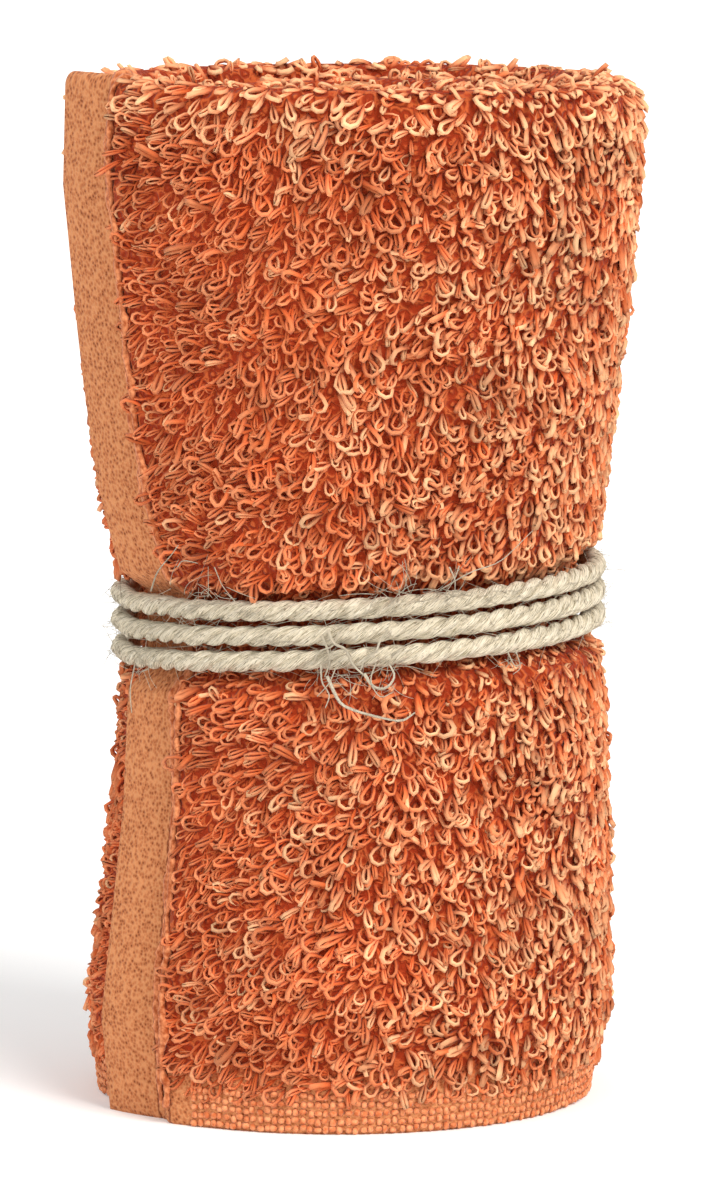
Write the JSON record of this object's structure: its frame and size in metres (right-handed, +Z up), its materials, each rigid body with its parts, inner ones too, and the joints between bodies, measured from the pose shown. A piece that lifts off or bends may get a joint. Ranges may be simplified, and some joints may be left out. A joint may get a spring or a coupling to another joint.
{
  "type": "rolled face towel tied with twine",
  "caption": "Terry face towel folded along its length, rolled up, standing on end and tied round the waist with jute twine.",
  "frame": {"origin": "on the floor under the middle of the roll's bounding box", "axes": "+Z up along the roll from its hems to its fold, -Y towards the viewer, +X to the viewer's right"},
  "size_m": [0.0862, 0.0868, 0.1499],
  "materials": {
    "terry": "terracotta cotton terry with uncut loops, matt",
    "jute": "natural three-ply jute twine, dry and hairy"
  },
  "bodies": {
    "root": {"towel": "terry", "twine": "jute"}
  },
  "joints": []
}
